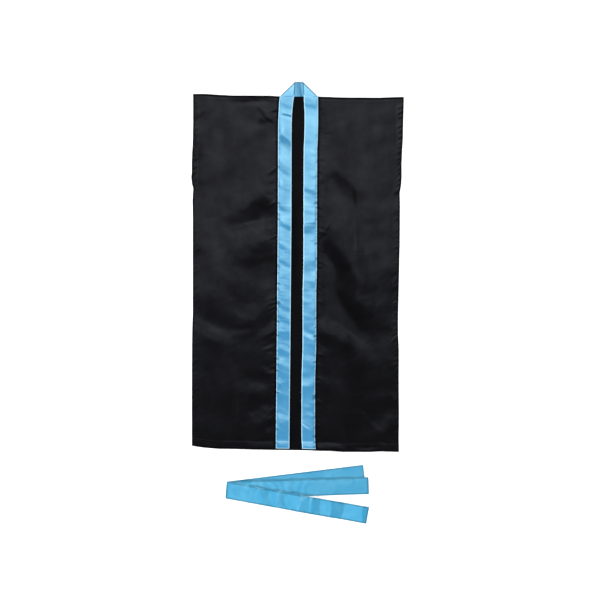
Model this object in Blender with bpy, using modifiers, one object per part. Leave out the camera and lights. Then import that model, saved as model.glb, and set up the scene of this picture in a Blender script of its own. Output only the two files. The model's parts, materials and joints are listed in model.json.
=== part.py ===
"""A sleeveless happi coat laid flat on its back, with its sash folded beside the hem.

Units are metres, +Z up, +Y towards the collar. The back panel lies on the floor at Z = 0, the two
front panels lie on it, and the collar band wraps their inner edges and the back of the neck.
Every cloth piece is a grid, laid out by a function of its own column and row, that a Solidify
modifier gives its wall. "Down" is the distance below the shoulder line, so the hem is near 1.1 m.
"""

import math
from collections import namedtuple

import bmesh
import bpy
from mathutils import Vector

MM = 0.001

# Cloth walls and the clearance between two layers.
CLOTH = 1.0 * MM
GAP = 0.3 * MM
LAYER = CLOTH + GAP

# The coat.
COAT_LENGTH = 1100 * MM
TOTAL_LENGTH = 1378 * MM
NECK_STAND = 46 * MM
COLLAR_TOP_Y = TOTAL_LENGTH / 2
SHOULDER_Y = COLLAR_TOP_Y - NECK_STAND
ARMHOLE = 290 * MM

# The collar band: one strip folded over the front edges and the back of the neck.
COLLAR_WIDTH = 42 * MM
NECK_COLLAR_WIDTH = 44 * MM
DIAGONAL_WIDTH = 47.5 * MM
SEAM_ALLOWANCE = 12 * MM
FOLD_RADIUS = CLOTH + GAP
BAND_THICKNESS = 3 * CLOTH + 2 * GAP
UNDER_LAYER_EDGE = 2 * MM
COLLAR_FLARE = 60 * MM
TAB_INSET = 2.5 * MM

# The sash: a flat strip folded to and fro in four runs.
SASH_WIDTH = 52.5 * MM
SASH_CLOTH = 1.2 * MM
SASH_GAP = 0.4 * MM
SASH_LAYER = SASH_CLOTH + SASH_GAP

# Where the coat's edges and collar seams lie across, at distances down from the shoulder, in mm.
EDGE_COLUMNS = ("down", "left_side", "left_seam", "right_seam", "right_side")
EDGES = (
    (0, -325.5, -55.0, 63.5, 331.5),
    (45, -325.5, -58.8, 63.9, 330.3),
    (120, -326.0, -60.6, 62.8, 328.5),
    (182, -328.3, -60.7, 61.8, 325.5),
    (232, -329.1, -60.7, 61.0, 324.1),
    (257, -331.5, -60.8, 60.9, 323.8),
    (276, -329.7, -60.9, 60.8, 322.6),
    (290, -325.4, -60.9, 60.7, 319.0),
    (345, -326.9, -61.0, 60.6, 319.3),
    (457, -326.0, -61.6, 60.3, 318.3),
    (645, -326.3, -63.1, 57.7, 314.3),
    (720, -327.6, -64.2, 57.8, 313.3),
    (806, -329.1, -64.8, 57.3, 315.7),
    (870, -329.3, -65.6, 54.6, 315.9),
    (981, -329.6, -66.9, 54.1, 316.1),
    (1100, -329.4, -67.5, 55.8, 316.0),
)

# The neck's middle and half its width, between the collar seams at the shoulder line.
NECK_CENTRE_X = (EDGES[0][3] + EDGES[0][2]) / 2 * MM
NECK_HALF_WIDTH = (EDGES[0][3] - EDGES[0][2]) / 2 * MM

# How far the shoulder line and the hem wander from straight, across the coat, in mm.
WANDER_COLUMNS = ("across", "shoulder_down", "hem_down")
WANDER = (
    (-326, -9.0, -11.0),
    (-289, -8.5, -6.0),
    (-242, -5.5, -2.5),
    (-205, -3.5, -2.2),
    (-86, -3.0, 1.0),
    (-61, 0.0, 1.2),
    (64, 0.0, 2.5),
    (101, 0.3, 4.0),
    (148, 3.0, 6.8),
    (226, 3.0, 7.0),
    (257, 2.6, 5.4),
    (307, 1.0, 7.0),
    (330, 0.5, 7.0),
)

# The largest folds of the fronts: crests along short lines of (across, down), in mm.
Fold = namedtuple("Fold", ("half_width", "height", "line"))
FOLDS = (
    Fold(26, 3.6, ((-72, 330), (-140, 352), (-207, 390))),
    Fold(36, 5.0, ((-74, 446), (-160, 470), (-222, 533), (-267, 602))),
    Fold(32, 3.6, ((-74, 596), (-148, 633), (-210, 690))),
    Fold(26, 4.2, ((-318, 702), (-236, 752), (-180, 796))),
    Fold(28, 3.2, ((-76, 727), (-164, 796))),
    Fold(40, 2.6, ((-78, 898), (-180, 976))),
    Fold(55, 2.4, ((-90, 95), (-190, 170), (-270, 270))),
    Fold(45, 2.0, ((-285, 905), (-230, 1075))),
    Fold(27, 3.8, ((74, 234), (140, 290), (172, 358))),
    Fold(36, 5.2, ((76, 408), (148, 465), (200, 571), (240, 690))),
    Fold(28, 4.8, ((76, 711), (148, 758), (210, 820))),
    Fold(26, 2.8, ((300, 520), (262, 478))),
    Fold(24, 2.4, ((74, 540), (128, 590))),
    Fold(45, 2.8, ((76, 929), (195, 1023))),
    Fold(60, 2.2, ((100, 75), (215, 130), (300, 235))),
    Fold(36, 2.0, ((285, 640), (258, 770))),
)
CALM_NEAR_SEAM = 35 * MM
CALM_NEAR_SIDE = 30 * MM
CALM_SHARE = 0.3

# The armhole edges lie a little open.
ARMHOLE_LIFT = 1.6 * MM
ARMHOLE_REACH = 70 * MM

# The back panel and all that lies on it climb over the neck seam.
NECK_CLIMB_FROM = 48 * MM
NECK_CLIMB_TO = 4 * MM
NECK_CLIMB_FADE = 50 * MM

# (x, y) on the sash's centre line in mm: the free end of its top run, its folds, its other end.
SASH_ENDS_AND_FOLDS = (
    (218.6, -662.0),
    (-221.7, -582.8),
    (220.3, -569.2),
    (-217.2, -582.8),
    (207.5, -530.7),
)

# The top run lies on the floor up to one share of its length and on the others from another.
SASH_FLOOR_SHARE = 0.12
SASH_STACK_SHARE = 0.42

# Grid divisions. The rows of the coat's grids fall on these distances down, in mm, and between them.
ROW_MARKS = (0, 10, 48, 232, 257, 276, 290, 1100)
FRONT_ROW_STEP = 28 * MM
BACK_ROW_STEP = 130 * MM
PANEL_COLUMNS = 12
ALLOWANCE_SHARES = (0.25, 0.92)
BACK_SHARES = (0, 0.4, 0.8, 0.9, 1)
NECK_TAB_SHARES = (0, 0.25, 0.5, 0.75, 1)
COLLAR_TOP_COLUMNS = 4
COLLAR_FOLD_STEPS = 4
COLLAR_UNDER_COLUMNS = 2
DIAGONAL_ROWS = 3
NECK_BAND_COLUMNS = 8
SASH_RUN_STEPS = 10
SASH_FOLD_STEPS = 6
SHARP_ANGLE = math.radians(40)


def smooth(start, end, value):
    """0 at start, 1 at end, and an S curve between them; start may be the larger."""
    share = min(1.0, max(0.0, (value - start) / (end - start)))
    return share * share * (3 - 2 * share)


def mix(a, b, share):
    return a + (b - a) * share


def look_up(table, columns, at, name):
    """A named column of a table in mm, read between its rows, in metres."""
    column = columns.index(name)
    at = at / MM
    if at <= table[0][0]:
        return table[0][column] * MM
    for low, high in zip(table, table[1:]):
        if at <= high[0]:
            share = (at - low[0]) / (high[0] - low[0])
            return mix(low[column], high[column], share) * MM
    return table[-1][column] * MM


def edge(name, down):
    return look_up(EDGES, EDGE_COLUMNS, down, name)


def down_at(x, down):
    """The nominal distance down, moved by how the shoulder and the hem wander at this x."""
    shoulder = look_up(WANDER, WANDER_COLUMNS, x, "shoulder_down")
    hem = look_up(WANDER, WANDER_COLUMNS, x, "hem_down")
    return down + mix(shoulder, hem, down / COAT_LENGTH)


def distance_to_line(line, x, down):
    """Distance from (x, down) to a line of points given in mm."""
    here = Vector((x / MM, down / MM))
    nearest = math.inf
    for start, end in zip(line, line[1:]):
        start = Vector(start)
        run = Vector(end) - start
        share = min(1.0, max(0.0, (here - start).dot(run) / run.length_squared))
        nearest = min(nearest, (here - start - run * share).length)
    return nearest * MM


def fold_height(x, down):
    """Height of all the folds at a place on the fronts."""
    total = 0.0
    for fold in FOLDS:
        reach = distance_to_line(fold.line, x, down) / (fold.half_width * MM)
        total += fold.height * MM * math.exp(-reach * reach)
    return total


def neck_climb(x, down):
    """1 at the neck seam, falling to 0 further down and out to the shoulders."""
    off = abs(x - NECK_CENTRE_X) - NECK_HALF_WIDTH
    return smooth(NECK_CLIMB_FROM, NECK_CLIMB_TO, down) * smooth(NECK_CLIMB_FADE, 0, off)


def front_lift(x, down):
    """How far the underside of the front layer lies above its lowest possible place."""
    side = "left" if x < 0 else "right"
    from_side = abs(edge(side + "_side", down) - x)
    from_seam = abs(x) - abs(edge(side + "_seam", down))
    calm = mix(CALM_SHARE, 1, smooth(0, CALM_NEAR_SEAM, from_seam))
    calm *= mix(CALM_SHARE, 1, smooth(0, CALM_NEAR_SIDE, from_side))
    open_armhole = smooth(0, ARMHOLE / 2, down) * smooth(ARMHOLE, ARMHOLE / 2, down)
    open_armhole *= smooth(ARMHOLE_REACH, 0, from_side)
    lift = fold_height(x, down) * calm + ARMHOLE_LIFT * open_armhole
    return lift + 2 * LAYER * neck_climb(x, down)


def coat_rows(step):
    """Distances down for a grid's rows, from the shoulder to the hem, at most about a step apart."""
    rows = []
    for start, end in zip(ROW_MARKS, ROW_MARKS[1:]):
        count = max(1, round((end - start) * MM / step))
        rows += [mix(start, end, i / count) * MM for i in range(count)]
    return rows + [COAT_LENGTH]


def material(name, color, roughness):
    made = bpy.data.materials.new(name)
    made.use_nodes = True
    shader = made.node_tree.nodes["Principled BSDF"]
    shader.inputs["Base Color"].default_value = (*color, 1)
    shader.inputs["Roughness"].default_value = roughness
    shader.inputs["Metallic"].default_value = 0
    return made


def cloth_grid(name, columns, rows, place, wall, cloth, collection):
    """A grid of columns by rows, each corner put where place(column, row) says, as a wall of cloth.

    place gives the upper or outer face, and the wall is built to the other side of it.
    """
    mesh = bpy.data.meshes.new(name)
    grid = bmesh.new()
    bmesh.ops.create_grid(grid, x_segments=columns, y_segments=rows, size=0.5)
    for corner in grid.verts:
        column = round((corner.co.x + 0.5) * columns)
        row = round((corner.co.y + 0.5) * rows)
        corner.co = place(column, row)
    grid.to_mesh(mesh)
    grid.free()
    mesh.materials.append(cloth)
    piece = bpy.data.objects.new(name, mesh)
    collection.objects.link(piece)
    solidify = piece.modifiers.new("Wall", "SOLIDIFY")
    solidify.thickness = wall
    solidify.offset = -1
    solidify.use_even_offset = True
    mesh.shade_smooth()
    mesh.set_sharp_from_angle(angle=SHARP_ANGLE)


def make_back_panel(cloth, collection):
    """The back: flat on the floor, with a tab at the neck that goes up inside the collar band."""
    rows = coat_rows(BACK_ROW_STEP)
    columns = [("left", share) for share in BACK_SHARES]
    columns += [("neck", share) for share in NECK_TAB_SHARES]
    columns += [("right", share) for share in reversed(BACK_SHARES)]

    def place(column, row):
        zone, share = columns[column]
        down = rows[-1 - row]
        left = edge("left_seam", down)
        right = edge("right_seam", down)
        if zone == "neck":
            x = mix(left + TAB_INSET, right - TAB_INSET, share)
        elif zone == "left":
            x = mix(edge("left_side", down), left, share)
        else:
            x = mix(edge("right_side", down), right, share)
        down = down_at(x, down)
        if zone == "neck" and row == len(rows) - 1:
            x = mix(x, NECK_CENTRE_X, SEAM_ALLOWANCE / NECK_HALF_WIDTH)
            down = -SEAM_ALLOWANCE
        return Vector((x, SHOULDER_Y - down, CLOTH + LAYER * neck_climb(x, down)))

    cloth_grid("back_panel", len(columns) - 1, len(rows) - 1, place, CLOTH, cloth, collection)


def make_front_panel(side, cloth, collection):
    """One front: from the side edge to the seam allowance inside the collar band."""
    rows = coat_rows(FRONT_ROW_STEP)
    inward = 1 if side == "left" else -1
    columns = PANEL_COLUMNS + len(ALLOWANCE_SHARES)

    def place(column, row):
        down = rows[-1 - row]
        if side == "right":
            column = columns - column
        seam = edge(side + "_seam", down)
        if column > PANEL_COLUMNS:
            x = seam + inward * SEAM_ALLOWANCE * ALLOWANCE_SHARES[column - PANEL_COLUMNS - 1]
        else:
            x = mix(edge(side + "_side", down), seam - inward * GAP, column / PANEL_COLUMNS)
        into_band = smooth(-CALM_NEAR_SEAM, 0, inward * (x - seam))
        top = LAYER + front_lift(x, down) + LAYER * into_band + CLOTH
        return Vector((x, SHOULDER_Y - down_at(x, down), top))

    cloth_grid("front_panel_" + side, columns, len(rows) - 1, place, CLOTH, cloth, collection)


def band_height(across, width):
    """Height of the collar band's top face: less beyond the seam allowance that it holds."""
    return mix(BAND_THICKNESS, 2 * FOLD_RADIUS, smooth(SEAM_ALLOWANCE, width - FOLD_RADIUS, across))


def band_section(width):
    """(across, height) of the collar band's outer face: from its seam over the fold and back under.

    across runs from the seam, 0, to the folded edge, width.
    """
    flat_end = width - FOLD_RADIUS
    section = [(0.0, BAND_THICKNESS)]
    for step in range(COLLAR_TOP_COLUMNS):
        across = mix(SEAM_ALLOWANCE, flat_end, step / (COLLAR_TOP_COLUMNS - 1))
        section.append((across, band_height(across, width)))
    for step in range(1, COLLAR_FOLD_STEPS + 1):
        turn = math.pi * step / COLLAR_FOLD_STEPS
        across = flat_end + FOLD_RADIUS * math.sin(turn)
        section.append((across, FOLD_RADIUS * (1 + math.cos(turn))))
    for step in range(1, COLLAR_UNDER_COLUMNS + 1):
        section.append((mix(flat_end, UNDER_LAYER_EDGE, step / COLLAR_UNDER_COLUMNS), 0.0))
    return section


def make_front_collar(side, cloth, collection):
    """One front run of the collar, from the hem up to its diagonal fold beside the neck."""
    rows = [-1 + i / DIAGONAL_ROWS for i in range(DIAGONAL_ROWS)] + coat_rows(FRONT_ROW_STEP)
    columns = len(band_section(COLLAR_WIDTH)) - 1
    inward = 1 if side == "left" else -1

    def place(column, row):
        down = max(0.0, rows[-1 - row])
        past_shoulder = max(0.0, -rows[-1 - row])
        width = mix(COLLAR_WIDTH, NECK_COLLAR_WIDTH, smooth(COLLAR_FLARE, 0, down))
        width = mix(width, DIAGONAL_WIDTH, past_shoulder)
        if side == "right":
            column = columns - column
        across, height = band_section(width)[column]
        x = edge(side + "_seam", down) + inward * across
        stand = past_shoulder * NECK_STAND * across / width
        base = LAYER + front_lift(x, down) + band_height(stand, NECK_STAND) - BAND_THICKNESS
        return Vector((x, SHOULDER_Y - down_at(x, down) + stand, base + height))

    cloth_grid("collar_" + side, columns, len(rows) - 1, place, CLOTH, cloth, collection)


def make_neck_collar(cloth, collection):
    """The collar's run across the back of the neck, between the two diagonal folds."""
    section = band_section(NECK_STAND)

    def place(column, row):
        across, height = section[row]
        lean = DIAGONAL_WIDTH * across / NECK_STAND
        left = edge("left_seam", 0) + lean
        right = edge("right_seam", 0) - lean
        return Vector((mix(left, right, column / NECK_BAND_COLUMNS), SHOULDER_Y + across, height))

    cloth_grid("collar_neck", NECK_BAND_COLUMNS, len(section) - 1, place, CLOTH, cloth, collection)


def sash_creases(headings):
    """Half of the crease at each fold and of the edge at each free end, pointing to +Y."""
    creases = [Vector((-headings[0].y, headings[0].x))]
    creases += [(before + after).normalized() for before, after in zip(headings, headings[1:])]
    creases.append(Vector((-headings[-1].y, headings[-1].x)))
    return [crease * math.copysign(SASH_WIDTH / 2, crease.y) for crease in creases]


def sash_stations():
    """(middle, half width, height of the grid's face) along the sash, free end to free end.

    The runs lie one under another, so the grid's face is the top of the first run, the bottom of
    the second, and so on, and it goes round the outside of one fold and the inside of the next.
    """
    turns = [Vector((x * MM, y * MM)) for x, y in SASH_ENDS_AND_FOLDS]
    headings = [(end - start).normalized() for start, end in zip(turns, turns[1:])]
    creases = sash_creases(headings)
    stations = []
    for run, heading in enumerate(headings):
        face_up = run % 2 == 0
        base = SASH_LAYER * (len(headings) - 1 - run)
        for step in range(SASH_RUN_STEPS + 1):
            share = step / SASH_RUN_STEPS
            on_stack = smooth(SASH_FLOOR_SHARE, SASH_STACK_SHARE, share) if run == 0 else 1
            middle = turns[run].lerp(turns[run + 1], share)
            half = creases[run].lerp(creases[run + 1], share)
            stations.append((middle, half, base * on_stack + (SASH_CLOTH if face_up else 0)))
        radius = SASH_GAP / 2 + (SASH_CLOTH if face_up else 0)
        folds = 0 if run == len(headings) - 1 else SASH_FOLD_STEPS
        start = stations[-1][2]
        for step in range(1, folds):
            turn = math.pi * step / SASH_FOLD_STEPS
            middle = turns[run + 1] + heading * radius * math.sin(turn)
            stations.append((middle, creases[run + 1], start - radius * (1 - math.cos(turn))))
    return stations


def make_sash(cloth, collection):
    """The sash: four runs folded to and fro on each other; its top run falls to the floor."""
    stations = sash_stations()

    def place(column, row):
        middle, half, height = stations[row]
        across = middle + half * (column - 1)
        return Vector((across.x, across.y, height))

    cloth_grid("sash", 2, len(stations) - 1, place, SASH_CLOTH, cloth, collection)


def main():
    for old in list(bpy.data.objects):
        bpy.data.objects.remove(old)
    collection = bpy.data.collections.new("happi_coat")
    bpy.context.scene.collection.children.link(collection)
    black = material("black_satin", (0.012, 0.012, 0.014), 0.42)
    blue = material("blue_satin", (0.19, 0.50, 0.76), 0.38)
    make_back_panel(black, collection)
    for side in ("left", "right"):
        make_front_panel(side, black, collection)
        make_front_collar(side, blue, collection)
    make_neck_collar(blue, collection)
    make_sash(blue, collection)


main()
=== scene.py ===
"""Looks of a sleeveless happi coat in black satin with a blue collar and sash, laid flat.

Units are metres, +Y towards the collar, +Z up from the floor. "Down" is the distance below the
shoulder line, and the fronts' creases are placed by (across, down) in millimetres. Every cloth
piece is a fine grid over its solid's form with a thin wall, and lesser creases on top of it.
"""

import json
import math
from collections import namedtuple

import bmesh
import bpy
import numpy as np
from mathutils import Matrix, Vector

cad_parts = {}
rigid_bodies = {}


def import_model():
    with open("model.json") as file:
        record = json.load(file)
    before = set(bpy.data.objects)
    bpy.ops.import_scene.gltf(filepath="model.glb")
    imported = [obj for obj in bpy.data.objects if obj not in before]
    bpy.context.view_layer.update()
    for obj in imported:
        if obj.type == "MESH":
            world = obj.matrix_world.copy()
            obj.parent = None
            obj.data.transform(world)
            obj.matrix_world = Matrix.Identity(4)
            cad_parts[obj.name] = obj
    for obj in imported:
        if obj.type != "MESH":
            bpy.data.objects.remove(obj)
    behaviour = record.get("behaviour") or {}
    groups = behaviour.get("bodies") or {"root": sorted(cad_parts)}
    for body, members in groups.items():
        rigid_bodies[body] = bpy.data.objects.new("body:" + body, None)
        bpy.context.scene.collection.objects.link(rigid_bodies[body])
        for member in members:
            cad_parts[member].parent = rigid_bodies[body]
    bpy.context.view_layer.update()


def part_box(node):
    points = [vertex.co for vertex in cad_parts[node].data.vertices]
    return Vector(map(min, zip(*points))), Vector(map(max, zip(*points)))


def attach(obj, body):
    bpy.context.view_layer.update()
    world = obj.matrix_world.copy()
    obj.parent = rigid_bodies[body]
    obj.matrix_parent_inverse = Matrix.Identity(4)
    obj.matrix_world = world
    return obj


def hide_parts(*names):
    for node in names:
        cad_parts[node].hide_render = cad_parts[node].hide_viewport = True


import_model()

MM = 0.001

# Levels as in the solids: a layer's wall, the wall with its clearance, and the collar band's.
SOLID_CLOTH = 1.0 * MM
SOLID_LAYER = 1.3 * MM
BAND_THICKNESS = 3.6 * MM
BAND_FOLD_RADIUS = 1.3 * MM

# The wall of the visible shells.
SHELL = 0.5 * MM

# Lengths from the frame.
SHOULDER_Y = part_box("collar_neck")[0].y
NECK_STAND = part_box("collar_neck")[1].y - SHOULDER_Y
COAT_LENGTH = 1100 * MM
ARMHOLE = 290 * MM

# The collar band.
COLLAR_WIDTH = 42 * MM
NECK_COLLAR_WIDTH = 44 * MM
DIAGONAL_WIDTH = 47.5 * MM
SEAM_ALLOWANCE = 12 * MM
COLLAR_FLARE = 60 * MM
NECK_SEAM_SHARE = 0.56

# The turned hems with the step at their inner edges, and the stitches.
SIDE_HEM = 20 * MM
HEM = 26 * MM
BAND_HEM = 21 * MM
HEM_STEP = 0.22 * MM
STITCH_INSET = 1.8 * MM
STITCH_LENGTH = 2.7 * MM
STITCH_PITCH = 3.5 * MM
STITCH_RADIUS = 0.22 * MM
STITCH_RISE = 0.4 * STITCH_RADIUS
STITCH_SIDES = 6
STITCH_RINGS = ((-0.5, 0.35), (-0.32, 1), (0.32, 1), (0.5, 0.35))  # (place along, radius)

# Where the coat's edges and collar seams lie across, at distances down from the shoulder, in mm.
EDGES = (
    ("down", "left_side", "left_seam", "right_seam", "right_side"),
    (0, -325.8, -55, 63.5, 331.1),
    (18, -325.6, -57.4, 63.7, 330.8),
    (45, -325.5, -58.8, 63.9, 330),
    (85, -325.6, -60.4, 63.9, 328.8),
    (135, -326.3, -60.8, 62.6, 327.9),
    (160, -327.1, -60.8, 61.1, 326),
    (185, -328.6, -60.8, 61, 325.1),
    (210, -329.5, -60.8, 60.8, 324),
    (247, -329.7, -60.8, 60.6, 324.2),
    (259, -331.4, -60.9, 60.6, 323.4),
    (272, -330.2, -61, 60.5, 322.6),
    (284, -328.6, -61, 60.4, 320.6),
    (291, -325.9, -61, 60.4, 319.2),
    (297, -325.2, -61.1, 60.4, 318.2),
    (334, -327.3, -61.1, 60.4, 319),
    (384, -326.4, -61.2, 60.3, 318.8),
    (460, -326.4, -61.8, 60.2, 318.2),
    (534, -326.5, -62.4, 60, 316.4),
    (600, -326.4, -63.2, 58, 315.2),
    (640, -326.5, -63.4, 57.7, 314.2),
    (683, -326.8, -63.8, 57.7, 313.2),
    (733, -328.2, -64.2, 57.8, 313.2),
    (783, -329.1, -64.6, 57.5, 315.4),
    (870, -329.4, -65.6, 54.6, 315.2),
    (983, -329.5, -66.8, 54.1, 316),
    (1060, -329.4, -67.4, 54.1, 315.2),
    (1100, -329.4, -67.7, 56.5, 316),
)

# The sash: its strip and rows, the shares of the top run where it leaves the floor and where it is
# up on the stack, and (x, y) in mm of its centre line's ends and folds, from the top run down.
SASH_WIDTH = 52.5 * MM
SASH_CLOTH = 1.2 * MM
SASH_LAYER = 1.6 * MM
SASH_SHELL = SASH_CLOTH - 0.1 * MM
SASH_STEP = 2.3 * MM
SASH_FLOOR_SHARE = 0.12
SASH_STACK_SHARE = 0.42
SASH_ENDS_AND_FOLDS = (
    (218.6, -662),
    (-221.7, -582.8),
    (220.3, -569.2),
    (-217.2, -582.8),
    (207.5, -530.7),
)

# How far the shoulder line and the hem wander from straight, across the coat, in mm.
WANDER = (
    ("across", "shoulder_down", "hem_down"),
    (-326, -8.6, -11.5),
    (-310, -9, -9),
    (-289, -8.6, -6.2),
    (-242, -5.4, -2.6),
    (-205, -3.4, -2.2),
    (-86, -2.8, 0.6),
    (-61, -0.6, 1),
    (20, 0, 2.2),
    (64, 0.4, 3.4),
    (101, 0.8, 4),
    (140, 2.6, 6.8),
    (226, 3.2, 7),
    (257, 3.2, 5.2),
    (307, 1.2, 7),
    (330, 0.6, 7),
)

# Folds along lines of (across, down), in mm; start and end are the shares of the height that are
# left there. A slope falls, or if negative rises, towards the hem by nearly its fall within its half
# width of the line, and levels out beyond. A crease is a ridge or, if its height is negative, a
# trough, with a width above its line and one below it.
Slope = namedtuple("Slope", "fall half_width start end line")
Crease = namedtuple("Crease", "height above below start end line")


def slopes(*rows):
    return [Slope(*row[:4], row[4:]) for row in rows]


def creases(*rows):
    return [Crease(*row[:5], row[5:]) for row in rows]


FRONT_SLOPES = slopes(
    (2, 6, 0.5, 0.5, (-312, 72), (-283, 51)),
    (1.7, 5, 0.5, 1, (-123, 49), (-102, 66), (-78, 81)),
    (2.1, 7, 0.5, 0.8, (-129, 78), (-102, 81), (-82, 81)),
    (2.7, 9, 0.5, 0.5, (-219, 7), (-148, 9), (-78, 14)),
    (1.9, 13, 1, 0.5, (-328, 287), (-300, 277), (-269, 263)),
    (1.2, 6, 1, 0.4, (-328, 203), (-304, 197), (-285, 191)),
    (1.3, 5, 0.4, 1, (-90, 239), (-78, 232), (-65, 228)),
    (1.1, 5, 0.3, 1, (-94, 269), (-63, 259)),
    (1.3, 6, 0.3, 1, (-102, 304), (-86, 302), (-63, 296)),
    (6.7, 25, 0.5, 0.8, (-207, 396), (-168, 378), (-133, 355), (-102, 343), (-63, 349)),
    (0.9, 7, 0.4, 1, (-102, 392), (-63, 384)),
    (1.1, 15, 0.5, 0.4, (-201, 443), (-172, 433), (-148, 427)),
    (0.7, 5, 0.3, 1, (-94, 423), (-63, 415)),
    (7.7, 36, 0.6, 1, (-185, 503), (-148, 505), (-106, 495), (-63, 493)),
    (0.8, 10, 1, 0.3, (-328, 501), (-297, 489)),
    (3.4, 30, 0.5, 0.7, (-246, 602), (-203, 602), (-148, 606), (-102, 614)),
    (0.6, 8, 0.3, 1, (-106, 610), (-86, 600), (-67, 591)),
    (3.1, 28, 1, 0.6, (-324, 653), (-289, 665), (-254, 676), (-219, 690)),
    (1.8, 20, 0.5, 0.5, (-222, 704), (-191, 712), (-160, 712)),
    (2.3, 17, 0.6, 1, (-183, 752), (-145, 723), (-109, 692), (-67, 655)),
    (-2.6, 15, 0.4, 0.4, (-328, 695), (-308, 718), (-281, 740), (-250, 747), (-222, 756)),
    (-0.6, 6, 0.4, 0.4, (-207, 737), (-168, 735), (-133, 727)),
    (-1.9, 9, 0.3, 1, (-117, 743), (-94, 727), (-67, 708)),
    (-0.9, 4, 0.3, 1, (-104, 791), (-90, 782), (-75, 772)),
    (-0.5, 3, 0.4, 1, (-86, 800), (-67, 797)),
    (-1.6, 7, 0.4, 0.8, (-106, 844), (-86, 854), (-67, 864)),
    (-1.9, 22, 0.05, 0.6, (-168, 903), (-133, 903), (-94, 910)),
    (-3.4, 18, 0.1, 1, (-152, 1019), (-117, 994), (-67, 973)),
    (-2.1, 10, 0.3, 1, (-109, 1047), (-86, 1039), (-67, 1033)),
    (-0.6, 5, 1, 0.5, (-328, 1081), (-281, 1083), (-207, 1082)),
    (-1.2, 7, 0.3, 1, (-160, 1083), (-117, 1085), (-67, 1084)),
    (1.9, 6, 1, 0.4, (62, 51), (85, 55)),
    (0.7, 3, 1, 0.3, (62, 113), (113, 115)),
    (1.2, 5, 1, 0.3, (62, 199), (85, 197)),
    (5.2, 19, 0.15, 0.6, (84, 234), (115, 250), (145, 272), (174, 302)),
    (1.4, 6, 1, 0.3, (62, 267), (82, 269)),
    (1.4, 7, 1, 0.3, (60, 339), (80, 341)),
    (1.3, 14, 0.5, 0.5, (183, 353), (210, 372), (237, 388)),
    (0.9, 5, 1, 0.5, (62, 403), (97, 404)),
    (1.8, 6, 0.6, 1, (109, 388), (91, 409), (72, 441)),
    (1.1, 20, 0.5, 0.7, (222, 443), (265, 439), (311, 446)),
    (15.1, 32, 0.5, 0.3, (87, 450), (118, 488), (140, 532), (149, 583), (161, 634),
     (184, 676), (218, 710)),
    (1.4, 26, 0.7, 0.6, (70, 587), (105, 602), (132, 634)),
    (1.3, 30, 0.5, 1, (191, 571), (241, 587), (311, 599)),
    (1.5, 24, 0.6, 1, (241, 657), (276, 657), (311, 661)),
    (0.2, 4, 0.2, 1, (288, 586), (313, 584)),
    (0.3, 4, 0.3, 1, (261, 720), (288, 720), (313, 720)),
    (-0.6, 4, 1, 0.3, (60, 582), (89, 588)),
    (-0.8, 5, 1, 0.3, (60, 628), (85, 642)),
    (-4, 19, 1, 0.25, (60, 704), (97, 708), (136, 723), (175, 749), (210, 782)),
    (-3.3, 40, 0.4, 0.8, (210, 789), (249, 793), (288, 793), (311, 793)),
    (-0.5, 3, 0.2, 1, (284, 795), (313, 794)),
    (-1.1, 12, 1, 0.4, (62, 774), (101, 782)),
    (-1, 14, 1, 0.4, (62, 871), (113, 883)),
    (-0.9, 4, 0.4, 0.4, (195, 975), (210, 987)),
    (-6.3, 26, 0.1, 1, (240, 1040), (268, 1017), (308, 992)),
    (-3.4, 14, 0.3, 1, (273, 1074), (308, 1051)),
    (-2.3, 8, 1, 0.5, (60, 1080), (97, 1083), (140, 1086)),
    (-1.7, 6, 0.5, 0.5, (183, 1088), (210, 1090), (241, 1093)),
)
FRONT_RIDGES = creases(
    (0.6, 3, 9, 0.5, 1, (-201, 415), (-160, 401), (-117, 391), (-63, 384)),
    (-0.5, 7, 9, 0.3, 0.3, (-201, 419), (-199, 458), (-215, 501), (-224, 540)),
    (0.6, 2.2, 2.2, 0.3, 1, (-121, 51), (-98, 66), (-76, 82)),
    (0.5, 5, 5, 0.3, 0.5, (-238, 540), (-248, 571), (-261, 610)),
    (0.6, 12, 2.2, 0.3, 1, (-188, 758), (-187, 891), (-187, 1058)),
    (-0.7, 3.5, 3.5, 0.2, 0.4, (171, 275), (178, 310), (183, 341)),
    (0.6, 12, 2.2, 0.3, 1, (178, 345), (180, 408), (181, 482)),
    (0.3, 1.6, 1.6, 1, 1, (167, 477), (222, 477)),
    (0.3, 1.6, 1.6, 1, 1, (167, 487), (222, 487)),
    (1, 30, 40, 1, 0, (60, 723), (101, 735), (140, 766), (179, 813)),
)
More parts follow.
